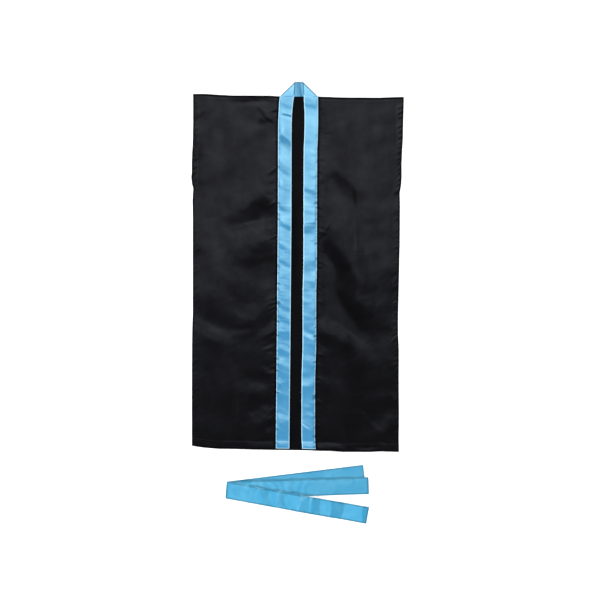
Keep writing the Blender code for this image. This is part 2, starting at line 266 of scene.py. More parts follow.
# Painted shade along the fronts' folds: its heights are shares of the sheen taken away or, if negative,
# added as a painted highlight.
FRONT_PAINTED_SHADE_AND_SHEEN = creases(
    (0.3, 20, 20, 0.6, 0.6, (-86, 88), (-141, 127), (-183, 166)),
    (0.24, 28, 28, 0.5, 0.7, (-180, 209), (-226, 248), (-285, 298)),
    (0.4, 7, 7, 0.5, 0.5, (-125, 78), (-94, 80)),
    (0.2, 12, 12, 0.5, 0.5, (-277, 150), (-312, 197)),
    (0.25, 12, 12, 0.5, 0.5, (-320, 267), (-289, 283)),
    (0.5, 20, 24, 0.5, 1, (-164, 363), (-117, 347), (-70, 353)),
    (0.25, 30, 40, 0.6, 1, (-172, 509), (-125, 513), (-67, 509)),
    (0.3, 6, 6, 0.5, 0.5, (-195, 7), (-86, 13)),
    (0.32, 34, 30, 0.7, 0.7, (-222, 591), (-172, 606)),
    (0.2, 20, 24, 1, 0.5, (-312, 657), (-242, 684)),
    (0.4, 10, 13, 0.5, 0.6, (-160, 376), (-121, 371), (-80, 368)),
    (0.45, 22, 22, 0.5, 0.8, (-165, 556), (-121, 561), (-80, 556)),
    (0.45, 20, 20, 0.5, 0.6, (-238, 644), (-200, 655), (-150, 666), (-105, 668)),
    (0.4, 28, 32, 0.5, 0.6, (-185, 768), (-135, 752), (-90, 738)),
    (-0.24, 55, 55, 0.7, 0.5, (-262, 370), (-262, 430), (-250, 500), (-250, 560)),
    (-0.2, 18, 18, 0.5, 0.8, (-170, 490), (-125, 475), (-80, 462)),
    (0.18, 40, 40, 0.8, 0.6, (70, 57), (109, 107), (140, 146)),
    (0.4, 20, 18, 0.4, 0.8, (109, 244), (148, 271), (175, 310)),
    (-0.14, 40, 40, 0.5, 0.6, (268, 385), (285, 440), (300, 500)),
    (-0.16, 26, 30, 0.5, 0.8, (245, 660), (270, 690), (300, 715)),
    (0.5, 40, 34, 0.6, 0.6, (106, 458), (131, 498), (145, 545), (149, 590)),
    (0.5, 26, 22, 0.5, 0.5, (145, 615), (160, 655), (190, 692), (225, 712)),
    (0.3, 16, 16, 0.6, 0.4, (72, 410), (110, 421), (165, 430)),
    (0.5, 4, 4, 0.3, 0.5, (171, 279), (178, 310), (183, 341)),
    (0.2, 2.5, 2.5, 0.3, 0.3, (-195, 774), (-193, 813), (-191, 864)),
    (0.5, 32, 36, 0.5, 0.5, (82, 737), (124, 770), (157, 809), (175, 860), (181, 930), (172, 1027)),
    (0.3, 26, 30, 0.5, 0.5, (185, 770), (226, 785), (265, 800)),
    (0.15, 26, 26, 1, 0.5, (66, 563), (109, 610)),
)

# Small wrinkles of the collar band, on the same plan.
BAND_SLOPES = slopes(
    (2.7, 3.4, 0.5, 1, (-45, 55), (-17, 62)),
    (6.2, 15, 0.9, 1, (-60, 130), (-39, 144), (-22, 157)),
    (3, 12, 1, 0.6, (-60, 213), (-25, 239)),
    (1.2, 8, 1, 0.6, (-60, 281), (-22, 297)),
    (1.9, 8, 0.8, 1, (-60, 341), (-21, 355)),
    (1, 7, 0.8, 1, (-58, 400), (-21, 412)),
    (0.6, 5, 1, 0.8, (-60, 439), (-22, 456)),
    (0.4, 6, 1, 0.5, (-60, 478), (-24, 495)),
    (1, 6, 1, 0.8, (-60, 512), (-25, 532)),
    (0.4, 8, 1, 0.3, (-61, 571), (-42, 568)),
    (0.5, 9, 1, 1, (-61, 621), (-24, 602)),
    (1.1, 8, 1, 0.8, (-62, 644), (-27, 666)),
    (1.3, 7, 1, 0.9, (-62, 682), (-25, 704)),
    (-0.6, 4, 1, 1, (-64, 726), (-25, 729)),
    (0.8, 8, 1, 0.9, (-64, 735), (-25, 754)),
    (-1, 6, 0.3, 1, (-58, 772), (-25, 789)),
    (0.5, 8, 1, 1, (-64, 793), (-25, 807)),
    (-1.6, 8, 1, 0.5, (-62, 816), (-31, 844)),
    (-2.1, 9, 1, 0.2, (-65, 878), (-46, 895)),
    (-1.5, 9, 0.4, 1, (-58, 905), (-27, 920)),
    (-4.8, 26, 0.6, 1, (-65, 983), (-27, 992)),
    (-2.7, 10, 1, 0.6, (-66, 1073), (-27, 1076)),
    (0.6, 7, 1, 0.3, (20, 22), (36, 24)),
    (-1.9, 22, 0.6, 0.6, (23, 82), (60, 88)),
    (0.7, 5, 0.4, 1, (29, 171), (57, 183)),
    (0.6, 5, 0.4, 1, (29, 242), (59, 255)),
    (1.6, 8, 1, 0.9, (20, 289), (59, 306)),
    (0.8, 6, 0.8, 1, (22, 340), (59, 343)),
    (3.8, 15, 1, 0.9, (20, 415), (59, 403)),
    (0.3, 5, 0.5, 1, (26, 457), (59, 468)),
    (2.2, 14, 0.9, 1, (20, 537), (59, 523)),
    (0.3, 6, 0.5, 1, (23, 598), (59, 590)),
    (0.5, 6, 0.9, 1, (20, 643), (57, 634)),
    (0.7, 6, 0.8, 1, (19, 716), (56, 735)),
    (-0.7, 5, 0.5, 1, (19, 736), (55, 749)),
    (0.4, 8, 0.9, 1, (19, 754), (55, 765)),
    (0.6, 20, 1, 1, (17, 827), (55, 814)),
    (-2.7, 12, 1, 0.8, (15, 889), (54, 877)),
    (-2.7, 14, 1, 0.8, (15, 952), (54, 942)),
    (0.2, 9, 1, 1, (15, 920), (54, 914)),
    (-0.9, 2.5, 1, 0.7, (15, 1019), (31, 1030), (54, 1048)),
    (-3.9, 22, 1, 0.6, (15, 992), (54, 983)),
    (-2.7, 10, 1, 0.6, (15, 1075), (54, 1078)),
)
BAND_CREASES = creases(
    (-0.35, 1.5, 1.5, 1, 1, (-60, 335), (-20, 336)),
    (-0.35, 1.5, 1.5, 1, 1, (20, 334), (60, 335)),
    (0.5, 1.6, 1.6, 0.3, 1, (-39, 125), (-21, 146)),
    (0.5, 3, 1.5, 1, 1, (20, 393), (59, 391)),
)

# Smooth noises: (height, size of its bumps, seed), lengths in mm. FRONT_WANDER moves the places of
# the fronts' slopes, so that they aren't too smooth.
FRONT_WANDER = ((5, 55, 90), (1.4, 18, 92))
FRONT_UNEVENNESS = ((0.55, 60, 3), (0.26, 24, 4), (0.05, 9, 5))
BAND_UNEVENNESS = ((0.7, 34, 5), (0.3, 15, 6), (0.07, 6, 7))
SASH_UNEVENNESS = ((0.15, 11, 71), (0.6, 30, 72))

# How high the fronts lie, and how calm they are near their edges.
REST_LIFT = 3.6 * MM
REST_SIDE_SHARE = 0.6
CALM_NEAR_SIDE = 45 * MM
CALM_NEAR_SEAM = 30 * MM
CALM_SHARE = 0.35
SOFT_BEND = 0.8 * MM

# Puckers that stitches pull up: the fronts' by the collar seam, the side hems', the band's dimples.
Puckers = namedtuple("Puckers", "height pitch reach slant least")
GATHERS = (
    Puckers(1.5 * MM, 13 * MM, 26 * MM, 0.5, 0.1),
    Puckers(1.4 * MM, 10 * MM, 11 * MM, 0.2, 0.3),
)
HEM_WRINKLES = Puckers(2.4 * MM, 16 * MM, 14 * MM, 0.6, 0.5)
SEAM_DIMPLES = Puckers(1.1 * MM, 10.5 * MM, 6 * MM, 0.2, 0.1)
PUCKERS_FROM = 20 * MM

# The shares of the armhole's hem and wrinkles that go on down the side, the height of the shoulder
# seam, and how far the fronts' edges roll down.
SIDE_HEM_SHARE = 0.35
SIDE_WRINKLE_SHARE = 0.3
SHOULDER_RIDGE = 0.4 * MM
EDGE_ROLL = 1.5 * MM
HEM_ROLL = 0.8 * MM

# The shares of sheen taken away as painted shade where a front is steep and as painted shadow in the
# opening, and how far in from a front's side, seam, shoulder and hem painted shade leaves it no sheen
# and all of it, in mm.
STEEP_PAINTED_SHADE = 0.35
SHADOW_DULL = 0.8
FRONT_EDGE_PAINTED_SHADE = ((3.2, 5.5), (4, 8), (4, 8), (4, 7))

# The collar band's seam: (across, how far below the band's top), in mm, and its line of stitches.
BAND_SEAM = ((0, 1.2), (0.3, 0.5), (1, 0.1))
BAND_STITCH_AT = 2.2 * MM
BAND_INSET = 2 * MM
# Its painted light and dark edges' width, how much painted shade darkens its slopes and dimples, and
# the share of sheen that painted shade takes away where it is dark.
PAINTED_EDGE_WIDTH = 2.0 * MM
BAND_SHADE = 0.3
DIMPLE_SHADE = 1.3
PAINTED_SHADE_SHEEN_LOSS = 0.7

# Heights of the sash's top run along it from its free end, in mm.
SASH_WAVES = (
    ("along", "height"),
    (0, 0.3), (16, 3.3), (81, 0.2), (120, 4.3), (146, 1.8), (176, 4.8), (187, 3.4), (216, 6),
    (262, 1.5), (282, 3.6), (316, 0.4), (336, 2.2), (380, 0.3), (447, 0),
)

# The petals that the sash's waves bend into, the blots of painted shade in its crushed middle, and how
# much painted shade they, its edges and its lower runs get.
SASH_PETALS_AT = 236 * MM
SASH_PETAL_PITCH = 65 * MM
SASH_PETAL_DEPTH = 13 * MM
SASH_EDGE_SHADE = 0.9
SASH_BLOT_PITCH = 27 * MM
TOP_BLOT_SHADE = 0.17
LOWER_BLOT_SHADE = 0.26
LOWER_RUN_SHADE = 0.28
LOWER_CRUSHED_SHADE = 0.04

# Grid lines of the pieces: a distance and the step that follows it, in mm.
FRONT_ROWS = (
    (0, 0.7), (4.2, 1.6), (9, 2.7), (1068, 1.3), (1078, 2.7), (1094, 1.2), (1097.6, 0.6), (1100, 0)
)
FRONT_COLUMNS = ((0, 0.6), (3, 1.2), (6, 2.7), (14, 1.4), (24, 2.9), (262, 1.5), (276, 0))
BACK_ROWS = ((0, 6), (1066, 2), (1078, 5), (1094, 1.5), (1097, 0.75), (1100, 0))
BAND_ROWS = ((0, 2.3), (1088, 1.2), (1092.2, 0.6), (1094.6, 0))
BAND_END = BAND_ROWS[-1][0] * MM
BACK_COLUMNS = 112
NECK_COLUMNS = 80
NOMINAL_PANEL = 265 * MM

# For each side: the way in from its edge, how its band's wrinkles lean, and its seed.
INWARD = {"left": 1, "right": -1}
BAND_LEAN = {"left": 0.4, "right": 0.1}
SEEDS = {"left": 20, "right": 40}

# The satin: scales of its yarns, weave and clouds on the cloth map, and depths.
YARN_SCALE = (420, 9, 1)
WEAVE_SCALE = (2400, 900, 1)
CLOUD_SCALE = 17
YARN_DEPTH = 0.012 * MM
WEAVE_DEPTH = 0.006 * MM

# The lights: name, place, target, (width, height) and power.
LIGHTS = (
    ("softbox", (0, 2.02, 4.2), (0, 2.02, 0), (1.8, 4), 140),
    ("softbox_far", (0, 2.75, 4.1), (0, 2.75, 0), (1.8, 2.5), 62),
    ("fill", (0, -2.9, 1.9), (0, -0.3, 0), (3.6, 1), 105),
    ("left", (-3.2, 0.2, 1.2), (0, 0, 0), (1, 3), 92),
    ("right", (3.2, 0.2, 1.2), (0, 0, 0), (1, 3), 15),
)
# The camera, which looks straight down, and the width that it takes in.
CAMERA_PLACE = (4.4 * MM, 12.5 * MM, 5.0)
VIEW_WIDTH = 1.8646
SENSOR_WIDTH = 36


def smooth(start, end, value):
    """0 at start, 1 at end, and an S curve between them; start may be the larger."""
    share = np.clip((value - start) / (end - start), 0, 1)
    return share * share * (3 - 2 * share)


def mix(a, b, share):
    return a + (b - a) * share


def bump(off, width=1):
    """1 at 0, and falling to nearly 0 at twice the width to both sides."""
    return np.exp(-((off / width) ** 2))


def roll_off(distance, radius):
    """1 at an edge, falling as a quarter circle to 0 at radius from it."""
    inside = np.clip(1 - distance / radius, 0, 1)
    return 1 - np.sqrt(1 - inside**2)


def at_least(least, value):
    """The value where it is above the least one, bending smoothly into it."""
    over = value - least
    return least + 0.5 * (over + np.sqrt(over**2 + SOFT_BEND**2))


def look_up(table, at, name):
    """A column of a table in mm that its first row names, read between its rows, in metres."""
    place = table[0].index(name)
    return np.interp(at / MM, [row[0] for row in table[1:]], [row[place] for row in table[1:]]) * MM


def edge(name, down):
    return look_up(EDGES, down, name)


def down_at(x, down):
    """The nominal distance down, moved by how the shoulder and the hem wander at this x."""
    shoulder = look_up(WANDER, x, "shoulder_down")
    hem = look_up(WANDER, x, "hem_down")
    return down + mix(shoulder, hem, down / COAT_LENGTH)


def placed(x, down, height, past_shoulder=0):
    """Points of the coat, as an array whose last axis is x, y and z."""
    return np.stack([x, SHOULDER_Y - down_at(x, down) + past_shoulder, height], -1)


def spaced(marks):
    """Distances in metres through the marks, which are (distance, step after it) in mm."""
    found = []
    for (begin, step), (end, _) in zip(marks, marks[1:]):
        count = max(1, round((end - begin) / step))
        found += [mix(begin, end, i / count) for i in range(count)]
    return np.array(found + [marks[-1][0]]) * MM


def curve_through(points, steps=5):
    """Points on a Catmull-Rom curve through the given ones."""
    points = np.array(points, float)
    padded = np.vstack([2 * points[0] - points[1], points, 2 * points[-1] - points[-2]])
    found = []
    for a, b, c, d in zip(padded, padded[1:], padded[2:], padded[3:]):
        for t in np.arange(steps) / steps:
            cubic = 2 * b + (c - a) * t + (2 * a - 5 * b + 4 * c - d) * t**2
            found.append((cubic + (3 * b - a - 3 * c + d) * t**3) / 2)
    return np.array(found + [points[-1]])


def nearest_on_line(line, widths, across, down):
    """Where a field of places lies by the nearest part of a line, all in mm: (off, beyond, place).

    off is positive below the line and beyond is past its ends, both as shares of its widths above
    and below. place runs from 0 to 1 along the line.
    """
    line = curve_through(line)
    below = 1 if line[-1][0] > line[0][0] else -1
    best = np.full(across.shape, np.inf)
    found = [np.zeros(across.shape) for _ in range(3)]
    for index, (start, end) in enumerate(zip(line, line[1:])):
        run = end - start
        length = math.hypot(*run)
        run = run / length
        along = (across - start[0]) * run[0] + (down - start[1]) * run[1]
        off = ((down - start[1]) * run[0] - (across - start[0]) * run[1]) * below
        off = off / np.where(off < 0, *widths)
        beyond = (along - np.clip(along, 0, length)) / (sum(widths) / 2)
        place = (index + np.clip(along / length, 0, 1)) / (len(line) - 1)
        nearer = off**2 + beyond**2 < best
        best = np.where(nearer, off**2 + beyond**2, best)
        found = [np.where(nearer, new, old) for new, old in zip((off, beyond, place), found)]
    return found


def on_fold(fold, across, down):
    """Which places of a field feel a fold, and there, how far off it is and its share of height."""
    widths = (fold.half_width,) * 2 if isinstance(fold, Slope) else (fold.above, fold.below)
    reach = 3.5 * max(widths)
    low, high = np.min(fold.line, axis=0) - reach, np.max(fold.line, axis=0) + reach
    near = (across > low[0]) & (across < high[0]) & (down > low[1]) & (down < high[1])
    off, beyond, place = nearest_on_line(fold.line, widths, across[near], down[near])
    return near, off, np.interp(place, (0, 0.3, 0.7, 1), (fold.start, 1, 1, fold.end)) * bump(beyond)


def facet(off):
    """From 0 before a slope to 1 and down to -1 across it, almost straight, and back to 0 after it."""
    straight = off / (1 + off**4) ** 0.25
    return straight * np.exp(-(np.maximum(np.abs(off) - 1, 0) ** 2) / 2)


def fold_field(folds, x, down):
    """The heights that a table of folds adds, in metres."""
    total = np.zeros(x.shape)
    for fold in folds:
        near, off, share = on_fold(fold, x / MM, down / MM)
        if isinstance(fold, Slope):
            total[near] -= fold.fall / 2 * share * facet(off)
        else:
            total[near] += fold.height * share * bump(off)
    return total * MM


def steepness(folds, x, down):
    """How steeply the cloth falls towards the hem on a table's slopes, as a tangent, 0 elsewhere."""
    steepest = np.zeros(x.shape)
    for fold in folds:
        if fold.fall > 0:
            near, off, share = on_fold(fold, x / MM, down / MM)
            steep = share * np.exp(-(off**4)) * fold.fall / (2 * fold.half_width)
            steepest[near] = np.maximum(steepest[near], steep)
    return steepest


def soft_noise(x, y, size, seed, waves=14):
    """A smooth uneven field of about -1 to 1, whose bumps are about size across."""
    rng = np.random.default_rng(seed)
    total = np.zeros(x.shape)
    for turn, phase, scale in zip(*rng.random((3, waves))):
        pace = math.tau / (size * mix(1.4, 2.8, scale))
        heading = math.pi * turn
        total += np.cos(pace * (x * math.cos(heading) + y * math.sin(heading)) + math.tau * phase)
    return total / math.sqrt(waves)


def unevenness(table, x, y, seed=0, onto=0):
    """A table's smooth noises in metres, with a number added to their seeds, on top of a field."""
    return sum((rise * MM * soft_noise(x, y, size * MM, seed + own) for rise, size, own in table), onto)


def puckers(kind, along, off, start, seed, way=1):
    """Small uneven ridges that a row of stitches pulls up, 0 to about 1, fading away from it."""
    rng = np.random.default_rng(seed)
    count = int((COAT_LENGTH - start) / kind.pitch)
    total = np.zeros(along.shape)
    for index, (shift, size, far, lean) in enumerate(rng.random((count, 4))):
        middle = start + (index + 0.5 + 0.7 * (shift - 0.5)) * kind.pitch
        ridge = along - middle - off * way * kind.slant * mix(0.4, 1.6, lean)
        near = (np.abs(ridge) < 1.5 * kind.pitch) & (off > -kind.reach) & (off < 3 * kind.reach)
        fall = bump(off[near], kind.reach * mix(0.4, 1.3, size * far))
        ridge = bump(ridge[near], kind.pitch * mix(0.2, 0.42, far))
        total[near] += mix(kind.least, 1, size**3) * fall * ridge
    return total


def from_edges(side, x, down):
    """Distances in from the side edge, and from the collar seam, which is negative in the band."""
    inward = INWARD[side]
    return inward * (x - edge(side + "_side", down)), inward * (edge(side + "_seam", down) - x)


def neck_climb(x, down):
    """1 at the neck seam, falling to 0 further down and out to the shoulders."""
    left, right = edge("left_seam", 0), edge("right_seam", 0)
    off = np.abs(x - (left + right) / 2) - (right - left) / 2
    return smooth(48 * MM, 4 * MM, down) * smooth(50 * MM, 0, off)


def wandering(x, down):
    """Places moved unevenly by a few mm."""
    return [unevenness(FRONT_WANDER, x, down, axis, place) for axis, place in enumerate((x, down))]


def front_lift(side, x, down):
    """How far the front layer's underside lies above its lowest possible place."""
    from_side, from_seam = from_edges(side, x, down)
    calm = mix(CALM_SHARE, 1, smooth(0, CALM_NEAR_SEAM, from_seam))
    calm_side = smooth(0, CALM_NEAR_SIDE, from_side)
    folds = fold_field(FRONT_SLOPES, *wandering(x, down)) + fold_field(FRONT_RIDGES, x, down)
    lift = REST_LIFT * mix(REST_SIDE_SHARE, 1, calm_side) + mix(CALM_SHARE, 1, calm_side) * folds
    lift = unevenness(FRONT_UNEVENNESS, x, 0.7 * down, onto=lift)
    return at_least(0, lift * calm) + 2 * SOLID_LAYER * neck_climb(x, down)


def cloth_grid(name, points, flat, wall=SHELL, **attributes):
    """A cloth piece from a (rows, columns, 3) array of its outer face, walled to the other side.

    flat holds each point's place on the cut cloth, (rows, columns, 2), and becomes the UV map. The
    attributes, for the materials, are painted light and shade, 1 where an edge is painted light and -1
    where painted shade is darkest, and painted sheen shade, the share of sheen taken away or, if
    negative, added.
    """
    grid = bmesh.new()
    rows, columns = flat.shape[:2]
    bmesh.ops.create_grid(grid, x_segments=columns - 1, y_segments=rows - 1, size=0.5)
    for face in grid.faces:
        face.smooth = True
    for edge_of in grid.edges:
        edge_of.smooth = not edge_of.is_boundary
    mesh = bpy.data.meshes.new(name)
    grid.to_mesh(mesh)
    grid.free()
    mesh.vertices.foreach_set("co", points.ravel())
    uv = mesh.uv_layers.new(name="cloth")
    corner_of = np.empty(len(mesh.loops), int)
    mesh.loops.foreach_get("vertex_index", corner_of)
    uv.data.foreach_set("uv", flat.reshape(-1, 2)[corner_of].ravel())
    for attribute, values in attributes.items():
        mesh.attributes.new(attribute, "FLOAT", "POINT").data.foreach_set("value", values.ravel())
    mesh.update()
    piece = add_piece(name, mesh)
    solidify = piece.modifiers.new("Wall", "SOLIDIFY")
    solidify.thickness = wall
    solidify.offset = -1
    return piece


def add_piece(name, data):
    piece = bpy.data.objects.new(name, data)
    bpy.context.scene.collection.objects.link(piece)
    return piece


def hem_profile(from_hem):
    """What a turned-up hem adds, with the groove of its stitches."""
    groove = 0.2 * MM * bump(from_hem - HEM + STITCH_INSET, 1.2 * MM)
    return HEM_STEP * smooth(HEM + 1.5 * MM, HEM - 0.5 * MM, from_hem) - groove


def hem_wrinkles(side, down, from_side):
    """Slanting wrinkles that stay between a stitched hem's edge and its stitches."""
    held = smooth(SIDE_HEM + 6 * MM, SIDE_HEM - 4 * MM, from_side)
    off = from_side - 8 * MM
    pulled = puckers(HEM_WRINKLES, down, off, PUCKERS_FROM, SEEDS[side], -INWARD[side])
    return HEM_WRINKLES.height * held * pulled


def gathers(side, down, from_seam):
    """What the collar seam pulls up in the front beside it."""
    total = 0
    for index, kind in enumerate(GATHERS, 1):
        pulled = puckers(kind, down, from_seam, PUCKERS_FROM, SEEDS[side] + index)
        total += kind.height * pulled
    total *= np.interp(down / MM, (0, 400, 600, 850), (1.8, 1, 1, 0.6))
    return total * smooth(1.5 * MM, 7 * MM, from_seam)


def front_surface(side, x, down):
    """Height of the outer face of a front."""
    from_side, from_seam = from_edges(side, x, down)
    armhole = smooth(ARMHOLE + 12 * MM, ARMHOLE - 4 * MM, down)
    into_band = smooth(30 * MM, 0, from_seam) * smooth(-5 * MM, -0.5 * MM, from_seam)
    height = SOLID_LAYER + SOLID_CLOTH + front_lift(side, x, down) + SOLID_LAYER * into_band
    side_hem = mix(SIDE_HEM_SHARE, 1, armhole) * hem_profile(from_side + HEM - SIDE_HEM)
    height += side_hem * smooth(0, 30 * MM, down) + hem_profile(COAT_LENGTH - down)
    height += hem_wrinkles(side, down, from_side) * mix(SIDE_WRINKLE_SHARE, 1, armhole)
    height += gathers(side, down, from_seam)
    height += SHOULDER_RIDGE * bump(down - 13 * MM, 2.5 * MM)
    height -= EDGE_ROLL * roll_off(from_side, mix(6, 3, armhole) * MM) * mix(1, 0.5, armhole)
    height -= EDGE_ROLL * roll_off(down, 5 * MM) * smooth(0, 20 * MM, from_seam)
    return height - HEM_ROLL * roll_off(COAT_LENGTH - down, 2 * MM)


def front_x(side, nominal, down):
    """x for a column whose distance in from the side edge is given on a panel of nominal width."""
    width = np.abs(edge(side + "_seam", down) - edge(side + "_side", down))
    share = (nominal - SIDE_HEM) / (NOMINAL_PANEL - SIDE_HEM)
    stretched = mix(SIDE_HEM, width, share)
    inner = np.where(nominal < SIDE_HEM, nominal, stretched)
    inner = np.where(nominal > NOMINAL_PANEL, width + nominal - NOMINAL_PANEL, inner)
    return edge(side + "_side", down) + INWARD[side] * inner


def facing_up(side, *grids):
    """Grids with their columns in the order that turns a side's outer faces up."""
    return [grid[:, ::INWARD[side]] for grid in grids]


def make_front(side):
    down, nominal = np.meshgrid(spaced(FRONT_ROWS)[::-1], spaced(FRONT_COLUMNS), indexing="ij")
    x = front_x(side, nominal, down)
    from_side, from_seam = from_edges(side, x, down)
    moved = wandering(x, down)
    # Painted shade along the folds and on the steep slopes, painted highlight where the table is
    # negative, and painted shade up to the edges, all as sheen taken away or added.
    dull = fold_field(FRONT_PAINTED_SHADE_AND_SHEEN, *moved) / MM
    dull += STEEP_PAINTED_SHADE * smooth(0.07, 0.2, steepness(FRONT_SLOPES, *moved))
    distances = (from_side, from_seam, down, COAT_LENGTH - down)
    for distance, (near, far) in zip(distances, FRONT_EDGE_PAINTED_SHADE):
        dull = mix(np.minimum(dull, 1), 1, smooth(far * MM, near * MM, distance))
    points = placed(x, down, front_surface(side, x, down))
    points, flat, dull = facing_up(side, points, np.stack([x, down], -1), dull)
    return cloth_grid("front_" + side, points, flat, dull=dull)


def make_back():
    down, share = np.meshgrid(spaced(BACK_ROWS)[::-1], np.linspace(0, 1, BACK_COLUMNS), indexing="ij")
    x = mix(edge("left_side", down), edge("right_side", down), share)
    height = SHELL + 0.1 * MM + (SOLID_LAYER + 0.2 * MM) * neck_climb(x, down)
    height += 0.12 * MM * (1 + soft_noise(x, down, 70 * MM, 8))
    opening = smooth(60 * MM, 20 * MM, np.abs(x))
    height += 0.5 * MM * opening * (1 + soft_noise(x, down, 40 * MM, 9))
    height += 0.6 * hem_profile(COAT_LENGTH - down)
    shadowed = smooth(250 * MM, 400 * MM, down) * smooth(700 * MM, 500 * MM, down)
    shadowed *= SHADOW_DULL * smooth(6 * MM, -10 * MM, x)
    points = placed(x, down, np.maximum(height, SHELL))
    return cloth_grid("back", points, np.stack([x, down], -1), dull=shadowed)


def band_height(across, width):
    """Height of the collar band's top face: less beyond the seam allowance that it holds."""
    thin = smooth(SEAM_ALLOWANCE, width - BAND_FOLD_RADIUS, across)
    return mix(BAND_THICKNESS, 2 * BAND_FOLD_RADIUS, thin)


def band_section(width):
    """(across, height) of the band's outer face: from its seam over the fold and back under."""
    flat_end = width - BAND_FOLD_RADIUS
    at_seam, drops = np.array(BAND_SEAM).T * MM
    top = np.concatenate([at_seam, np.linspace(BAND_INSET, flat_end, 19)])
    heights = band_height(top, width)
    heights[:len(drops)] -= drops
    turn = np.linspace(0, math.pi, 8)[1:]
    fold = flat_end + BAND_FOLD_RADIUS * np.sin(turn)
    fold_heights = BAND_FOLD_RADIUS * (1 + np.cos(turn))
    under = np.linspace(flat_end, BAND_INSET, 6)[1:]
    return np.concatenate([top, fold, under]), np.concatenate([heights, fold_heights, 0 * under])


def make_band(side):
    rows = np.concatenate([np.linspace(-1, 0, 23)[:-1], spaced(BAND_ROWS)])[::-1]
    down, past_shoulder = np.maximum(0, rows), np.maximum(0, -rows)
    width = mix(COLLAR_WIDTH, NECK_COLLAR_WIDTH, smooth(COLLAR_FLARE, 0, down))
    width = mix(width, DIAGONAL_WIDTH, past_shoulder)
    across, height = (np.array(found) for found in zip(*(band_section(each) for each in width)))
    down, past_shoulder, width = (row[:, None] + 0 * across for row in (down, past_shoulder, width))
    x = edge(side + "_seam", down) + INWARD[side] * across
    stand = past_shoulder * NECK_STAND * across / width
    on_coat = past_shoulder == 0
    on_top = on_coat * (height > BAND_THICKNESS / 2)
    relief = band_relief(side, x, across, down) * mix(0.4, 1, height / BAND_THICKNESS)
    height = height + SOLID_LAYER + front_lift(side, x, down) + relief * on_coat
    height += band_height(stand, NECK_STAND) - BAND_THICKNESS
    flat = np.stack([across, down - past_shoulder * NECK_STAND], -1)
    # Painted highlight along the band's seam, fold and hem; painted shade where it stands at the neck,
    # on its steep slopes and at its seam's dimples, which also takes sheen away.
    rim = band_painted_light_shade(across, width, down, past_shoulder)
    shaded = BAND_SHADE * smooth(0.02, 0.2, steepness(BAND_SLOPES, x, down)) * on_top
    rim = np.where(rim > 0, rim, rim - shaded)
    rim = np.maximum(rim - DIMPLE_SHADE * seam_dimples(side, across, down) * on_top, -1)
    points, flat, rim = facing_up(side, placed(x, down, height, stand), flat, rim)
    return cloth_grid("band_" + side, points, flat, rim=rim, dull=PAINTED_SHADE_SHEEN_LOSS * np.clip(-rim, 0, 1))


def band_relief(side, x, across, down):
    """The collar band's small creases, the puckers of its seam and its turned hem."""
    relief = fold_field(BAND_SLOPES + BAND_CREASES, x, down)
    leaning = down - BAND_LEAN[side] * x
    relief = unevenness(BAND_UNEVENNESS, 0.45 * x, leaning, SEEDS[side], relief)
    relief = at_least(-1.5 * MM, relief) * mix(0.2, 1, smooth(0, 9 * MM, across))
    dimples = SEAM_DIMPLES.height * seam_dimples(side, across, down)
    relief += dimples * smooth(0, BAND_INSET, across)
    relief -= 0.25 * MM * bump(across - BAND_STITCH_AT, 0.9 * MM)
    return relief + 1.4 * hem_profile(BAND_END - down + HEM - BAND_HEM)


def seam_dimples(side, across, down):
    """Where the collar seam's stitches pull the band in, 0 to about 1."""
    pulled = puckers(SEAM_DIMPLES, down, np.abs(across - 1.5 * MM), 0, SEEDS[side] + 4)
    return pulled * smooth(60 * MM, 240 * MM, down)


def band_painted_light_shade(across, width, down, past_shoulder):
    """Painted highlight along the band's seam, its fold and its hem, and painted shade where it stands
    at the neck.
    """
    seam = smooth(PAINTED_EDGE_WIDTH, 0.4 * PAINTED_EDGE_WIDTH, across)
    fold = smooth(width - PAINTED_EDGE_WIDTH, width - 0.4 * PAINTED_EDGE_WIDTH, across)
    from_end = BAND_END - down
    hem_line = 0.4 * smooth(PAINTED_EDGE_WIDTH, 0, np.abs(from_end - BAND_HEM))
    hem = np.maximum(smooth(PAINTED_EDGE_WIDTH, 0.25 * PAINTED_EDGE_WIDTH, from_end), hem_line)
    light = np.maximum(np.maximum(seam, fold), hem)
    standing = smooth(0, 0.2, past_shoulder)
    from_top = (1 - past_shoulder) * NECK_STAND * across / width
    top = smooth(3 * PAINTED_EDGE_WIDTH, 1.6 * PAINTED_EDGE_WIDTH, from_top) * smooth(PAINTED_EDGE_WIDTH, 3 * PAINTED_EDGE_WIDTH, across)
    return np.where(standing * top > 0, -top, light * mix(1, -1, standing))


def make_neck_band():
    across, height = band_section(NECK_STAND)
    across, share = np.meshgrid(across, np.linspace(0, 1, NECK_COLUMNS), indexing="ij")
    height = height[:, None] + 0 * across
    lean = DIAGONAL_WIDTH * across / NECK_STAND
    x = mix(edge("left_seam", 0) + lean, edge("right_seam", 0) - lean, share)
    wrinkle = 0.25 * MM * soft_noise(x, across * 0.08, 6 * MM, 60)
    height = height + np.where(height > BAND_FOLD_RADIUS, wrinkle, 0)
    points = np.stack([x, SHOULDER_Y + across, height], -1)
    # Painted shade: the whole neck band is darker with less sheen, most of all at its ends, by its
    # middle seam and along its fold at the top.
    ends = smooth(0.08, 0.02, np.minimum(share, 1 - share))
    middle = 0.6 * smooth(0.05, 0.02, np.abs(share - NECK_SEAM_SHARE))
    turned = smooth(NECK_STAND - 2.2 * PAINTED_EDGE_WIDTH, NECK_STAND - PAINTED_EDGE_WIDTH, across)
    dark = np.maximum(np.maximum(ends, middle), turned)
    flat = np.stack([across, x], -1)
    return cloth_grid("band_neck", points, flat, rim=-0.15 - 0.7 * dark, dull=0.5 + 0.45 * dark)


